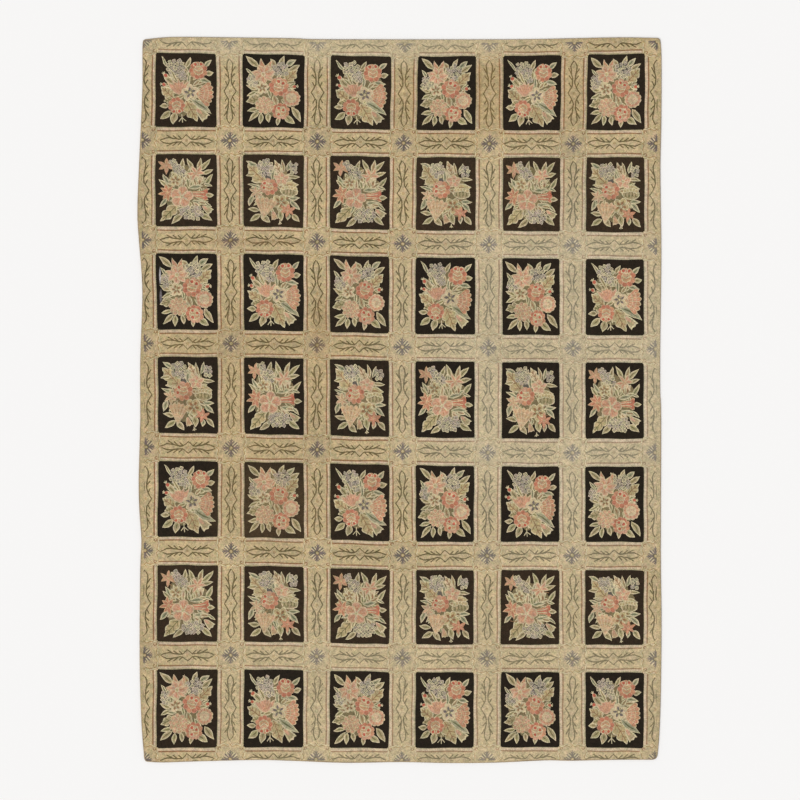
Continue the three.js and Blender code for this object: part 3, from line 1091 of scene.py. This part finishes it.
def hooked_wool(name, unevenness, stains):
    """Dyed wool yarn pulled through the cloth in low loops. The loops give the face its small even bumps
    and its specks of light and dark, and the dye is a little uneven and has faded in clouds."""
    material, tree, shader = new_material(name, 0.95, 0.0)
    place = add(tree, "TexCoord").outputs["Object"]
    yarn = add(tree, "Attribute", attribute_name="yarn").outputs["Color"]
    loop_scale = (1 / (5.4 * MM), 1 / (4.6 * MM), 0.0)
    loop_place = add(tree, "Mapping", {"Vector": place, "Scale": loop_scale}).outputs["Vector"]
    sockets = {"Vector": loop_place, "Scale": 1.0, "Randomness": 0.55}
    loops = add(tree, "TexVoronoi", sockets, voronoi_dimensions="2D")
    speck = add(tree, "SeparateColor", {"Color": loops.outputs["Color"]}).outputs["Red"]
    fleck = add(tree, "TexNoise", {"Vector": place, "Scale": 1 / (17 * MM), "Detail": 2.0})
    cloud = add(tree, "TexNoise", {"Vector": place, "Scale": 1 / 0.35, "Detail": 3.0})
    light = add(tree, "MapRange", {"Value": speck, "To Min": 0.8, "To Max": 1.2}).outputs["Result"]
    for noise, spread in ((cloud, 0.06), (fleck, unevenness)):
        sockets = {"Value": noise.outputs["Fac"], "From Min": 0.3, "From Max": 0.7}
        sockets.update({"To Min": 1.0 - spread, "To Max": 1.0 + spread})
        share = add(tree, "MapRange", sockets).outputs["Result"]
        light = add(tree, "Math", {0: light, 1: share}, operation="MULTIPLY").outputs[0]
    sockets = {"Factor": 0.14, MIX_BELOW: yarn, MIX_ABOVE: fleck.outputs["Color"]}
    heather = add(tree, "Mix", sockets, data_type="RGBA", blend_type="OVERLAY")
    colour = heather.outputs[MIX_RESULT]
    for x, y, half_x, half_y, strength, hex_colour in stains:
        sockets = {"Vector": place, "Location": (x * MM, y * MM, 0)}
        sockets["Scale"] = (half_x * MM, half_y * MM, 1.0)
        local = add(tree, "Mapping", sockets, vector_type="TEXTURE").outputs["Vector"]
        fade = add(tree, "TexGradient", {"Vector": local}, gradient_type="SPHERICAL").outputs["Fac"]
        amount = add(tree, "Math", {0: fade, 1: 2.0 * strength}, operation="MULTIPLY").outputs[0]
        limit = add(tree, "Math", {0: amount, 1: strength}, operation="MINIMUM").outputs[0]
        sockets = {"Factor": limit, MIX_BELOW: colour, MIX_ABOVE: (*linear(hex_colour), 1.0)}
        colour = add(tree, "Mix", sockets, data_type="RGBA", blend_type="MIX").outputs[MIX_RESULT]
    lit = add(tree, "HueSaturation", {"Color": colour, "Value": light}).outputs["Color"]
    tree.links.new(lit, shader.inputs["Base Color"])
    fibre = add(tree, "TexNoise", {"Vector": place, "Scale": 1 / (1.2 * MM), "Detail": 2.0}).outputs["Fac"]
    rise = add(tree, "Math", {0: fibre, 1: 0.3}, operation="MULTIPLY").outputs[0]
    height = add(tree, "Math", {0: rise, 1: loops.outputs["Distance"]}, operation="SUBTRACT").outputs[0]
    bump = add(tree, "Bump", {"Height": height, "Strength": 0.5, "Distance": 1.4 * MM})
    tree.links.new(bump.outputs["Normal"], shader.inputs["Normal"])
    return material


def foundation_cloth():
    """Plain woven jute, which shows on the rug's back as flat crossing threads, drawn twice as coarse
    as it is so that it shows. The hollows between the threads are darkened with painted shade."""
    material, tree, shader = new_material("woven jute foundation cloth", 0.9, 0.0)
    place = add(tree, "TexCoord").outputs["Object"]
    sockets = {"Vector": place, "Scale": 0.314 / (2 * 2.2 * MM), "Distortion": 0.4, "Detail": 1.0}
    waves = [
        add(tree, "TexWave", sockets, wave_type="BANDS", bands_direction=direction).outputs["Fac"]
        for direction in ("X", "Y")
    ]
    threads = add(tree, "Math", {0: waves[0], 1: waves[1]}, operation="MULTIPLY").outputs[0]
    # The colour follows the threads' height: the jute's own colour on the crossings, painted shade in the
    # hollows between them.
    ramp = add(tree, "ValToRGB", {"Fac": threads})
    ramp.color_ramp.elements[0].color = (*linear("#7c6a4b"), 1.0)
    ramp.color_ramp.elements[1].color = (*linear("#b5a27c"), 1.0)
    tree.links.new(ramp.outputs["Color"], shader.inputs["Base Color"])
    bump = add(tree, "Bump", {"Height": threads, "Strength": 0.5, "Distance": 0.6 * MM})
    tree.links.new(bump.outputs["Normal"], shader.inputs["Normal"])
    return material


def whipped_yarn():
    """Thick undyed wool yarn wound tightly over the rim. Its turns are in the mesh, and the yarn is
    greyer where feet and handling have soiled it."""
    material, tree, shader = new_material("whipped wool edging yarn", 0.92, 0.1)
    place = add(tree, "TexCoord").outputs["Object"]
    soil = add(tree, "TexNoise", {"Vector": place, "Scale": 1 / 0.06, "Detail": 3.0}).outputs["Fac"]
    ramp = add(tree, "ValToRGB", {"Fac": soil})
    ramp.color_ramp.elements[0].position = 0.35
    ramp.color_ramp.elements[1].position = 0.65
    ramp.color_ramp.elements[0].color = (*linear("#8f7c61"), 1.0)
    ramp.color_ramp.elements[1].color = (*linear("#ad987a"), 1.0)
    tree.links.new(ramp.outputs["Color"], shader.inputs["Base Color"])
    fibre = add(tree, "TexNoise", {"Vector": place, "Scale": 1 / (0.8 * MM), "Detail": 2.0}).outputs["Fac"]
    bump = add(tree, "Bump", {"Height": fibre, "Strength": 0.4, "Distance": 0.4 * MM})
    tree.links.new(bump.outputs["Normal"], shader.inputs["Normal"])
    return material


RIM_POINTS = 520
# First, last and step of the extra points that let the face follow the swell of the pile.
SPOTS_ACROSS = (-1350, 1351, 60)
SPOTS_ALONG = (-1890, 1891, 60)


class RUG_OT_trellis_ground(bpy.types.Operator):
    """Makes the rug's cloth with its straw trellis, stars and sprigs"""

    bl_idname = "rug.trellis_ground"
    bl_label = "Trellis ground"

    def execute(self, context):
        chance = random.Random(7)
        sizes = context.scene.rug_sizes
        outline = inset(rim_outline(), sizes.edge_width / MM / 2, RIM_POINTS)
        shapes = trellis(outline, context.scene.rug_yarns, chance)
        spots = [(x, y) for x in range(*SPOTS_ACROSS) for y in range(*SPOTS_ALONG)]
        ground = inlaid(
            "rug_ground",
            shapes,
            spots,
            lambda x, y: PILE_TOP + swell(x, y),
            lambda x, y: 0.0,
        )
        ground.data.materials.append(hooked_wool("hooked wool of the trellis", 0.15, STAINS + FADED))
        ground.data.materials.append(foundation_cloth())
        for face in ground.data.polygons:
            face.material_index = 1 if face.normal.z < -0.5 else 0
        map_face(ground)
        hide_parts(SLAB)
        return {"FINISHED"}


class RUG_OT_bouquet_panels(bpy.types.Operator):
    """Makes the 42 black panels, each with its bouquet"""

    bl_idname = "rug.bouquet_panels"
    bl_label = "Bouquet panels"

    def execute(self, context):
        yarns = context.scene.rug_yarns
        rise = context.scene.rug_sizes.panel_proud / MM
        wool = hooked_wool("hooked wool of the panels", 0.12, STAINS)
        for row in range(PANEL_ROWS):
            for column in range(PANEL_COLUMNS):
                chance = random.Random(100 * row + column)
                rust = chance.uniform(0.5, 0.9) if row in RUSTY_ROWS else chance.uniform(0.0, 0.4)
                ground = Vector(yarns.black).lerp(Vector(yarns.rusty_black), rust)
                shapes = [(tuple(ground), panel_shape(column, row, 0.0, 6.0))]
                for yarn, light, shape in bouquet(BOUQUET_ROWS[row][column], chance):
                    laid = [
                        on_panel(column, row, 0.5 + x / PANEL_WIDTH, 0.5 - y / PANEL_HEIGHT)
                        for x, y in shape
                    ]
                    colour = tuple(light * c for c in getattr(yarns, yarn))
                    shapes.append((colour, wandered(laid)))
                panel = inlaid(
                    f"panel_{row + 1}_{column + 1}",
                    shapes,
                    [],
                    lambda x, y: PILE_TOP + rise + swell(x, y),
                    lambda x, y: PILE_TOP - 1.0 + swell(x, y),
                )
                panel.data.materials.append(wool)
                map_face(panel)
        return {"FINISHED"}


# The overcast yarn's roll: points along each of its turns, points round it, and half its height.
STEPS_PER_TURN = 4
ROLL_SIDES = 6
ROLL_HALF_HEIGHT = 4.4


class RUG_OT_overcast_edge(bpy.types.Operator):
    bl_idname = "rug.overcast_edge"
    bl_label = "Overcast edge"

    def execute(self, context):
        sizes = context.scene.rug_sizes
        outline = rim_outline()
        around = sum(math.dist(a, b) for a, b in zip(outline, outline[1:] + outline[:1]))
        turns = round(around * MM / sizes.edge_pitch)
        path = evenly(outline, turns * STEPS_PER_TURN)
        half_width = sizes.edge_width / MM / 2
        roll = bmesh.new()
        bmesh.ops.create_grid(roll, x_segments=len(path), y_segments=ROLL_SIDES, size=0.5)
        for vert in roll.verts:
            step = round((vert.co.x + 0.5) * len(path)) % len(path)
            side = round((vert.co.y + 0.5) * ROLL_SIDES) % ROLL_SIDES
            x, y, out_x, out_y = path[step]
            angle = math.tau * side / ROLL_SIDES
            lay = step / STEPS_PER_TURN + side / ROLL_SIDES
            ridge = 0.88 + 0.16 * abs(math.sin(math.pi * lay))
            out = (ridge * math.cos(angle) - 1.0) * half_width
            up = ROLL_HALF_HEIGHT + 0.2 + ridge * ROLL_HALF_HEIGHT * math.sin(angle)
            vert.co = ((x + out_x * out) * MM, (y + out_y * out) * MM, up * MM)
        bmesh.ops.remove_doubles(roll, verts=roll.verts, dist=0.01 * MM)
        bmesh.ops.recalc_face_normals(roll, faces=roll.faces)
        for face in roll.faces:
            face.smooth = True
        edge = finished("edge_overcast", roll)
        edge.data.materials.append(whipped_yarn())
        return {"FINISHED"}


PHOTO_SIZE = 800
MM_PER_PIXEL = 5.263
# The rug's middle lies a little left of the photograph's.
MIDDLE_PIXEL_X = 399.45


class RUG_OT_stage(bpy.types.Operator):
    """Sets a pale floor, soft light and a camera straight above"""

    bl_idname = "rug.stage"
    bl_label = "Floor, light and camera"

    def execute(self, context):
        scene = context.scene
        floor_mesh = bmesh.new()
        bmesh.ops.create_grid(floor_mesh, x_segments=1, y_segments=1, size=8.0)
        mesh = bpy.data.meshes.new("floor")
        floor_mesh.to_mesh(mesh)
        floor_mesh.free()
        floor = bpy.data.objects.new("floor", mesh)
        floor.location.z = -0.0005
        scene.collection.objects.link(floor)
        paint, _, shader = new_material("pale matt floor", 0.9, 0.0)
        shader.inputs["Base Color"].default_value = (*linear("#f9f8f7"), 1.0)
        floor.data.materials.append(paint)

        view = MM * MM_PER_PIXEL * PHOTO_SIZE
        lens = bpy.data.cameras.new("camera")
        lens.lens = 50.0
        lens.sensor_width = 36.0
        height = view * lens.lens / lens.sensor_width
        camera = bpy.data.objects.new("camera", lens)
        aside = (PHOTO_SIZE / 2 - MIDDLE_PIXEL_X) * MM_PER_PIXEL * MM
        camera.location = (aside, 0.0, height + PILE_TOP * MM)
        scene.collection.objects.link(camera)
        scene.camera = camera

        lamp = bpy.data.lights.new("window_light", "SUN")
        lamp.energy = 1.5
        lamp.angle = math.radians(40)
        lamp_object = bpy.data.objects.new("window_light", lamp)
        lamp_object.rotation_euler = (math.radians(30), math.radians(-28), 0)
        scene.collection.objects.link(lamp_object)
        world = bpy.data.worlds.new("soft room")
        world.use_nodes = True
        world.node_tree.nodes["Background"].inputs["Color"].default_value = (1.0, 1.0, 1.0, 1.0)
        world.node_tree.nodes["Background"].inputs["Strength"].default_value = 0.62
        scene.world = world
        scene.view_settings.view_transform = "Standard"
        return {"FINISHED"}


class RUG_PT_sidebar(bpy.types.Panel):
    """Lists the steps that dress the rug"""

    bl_idname = "RUG_PT_sidebar"
    bl_label = "Bouquet trellis rug"
    bl_space_type = "VIEW_3D"
    bl_region_type = "UI"
    bl_category = "Rug"

    def draw(self, context):
        for step in STEPS:
            self.layout.operator(step.bl_idname)
        for group in (context.scene.rug_sizes, context.scene.rug_yarns):
            column = self.layout.column()
            for name in group.__annotations__:
                column.prop(group, name)


STEPS = (RUG_OT_trellis_ground, RUG_OT_bouquet_panels, RUG_OT_overcast_edge, RUG_OT_stage)
CLASSES = (RugYarns, RugSizes, *STEPS, RUG_PT_sidebar)


def register():
    for cls in CLASSES:
        bpy.utils.register_class(cls)
    bpy.types.Scene.rug_yarns = PointerProperty(type=RugYarns)
    bpy.types.Scene.rug_sizes = PointerProperty(type=RugSizes)


def unregister():
    del bpy.types.Scene.rug_sizes
    del bpy.types.Scene.rug_yarns
    for cls in reversed(CLASSES):
        bpy.utils.unregister_class(cls)


def main():
    register()
    bpy.ops.rug.trellis_ground()
    bpy.ops.rug.bouquet_panels()
    bpy.ops.rug.overcast_edge()
    bpy.ops.rug.stage()
    bpy.context.view_layer.update()


if __name__ == "__main__":
    main()
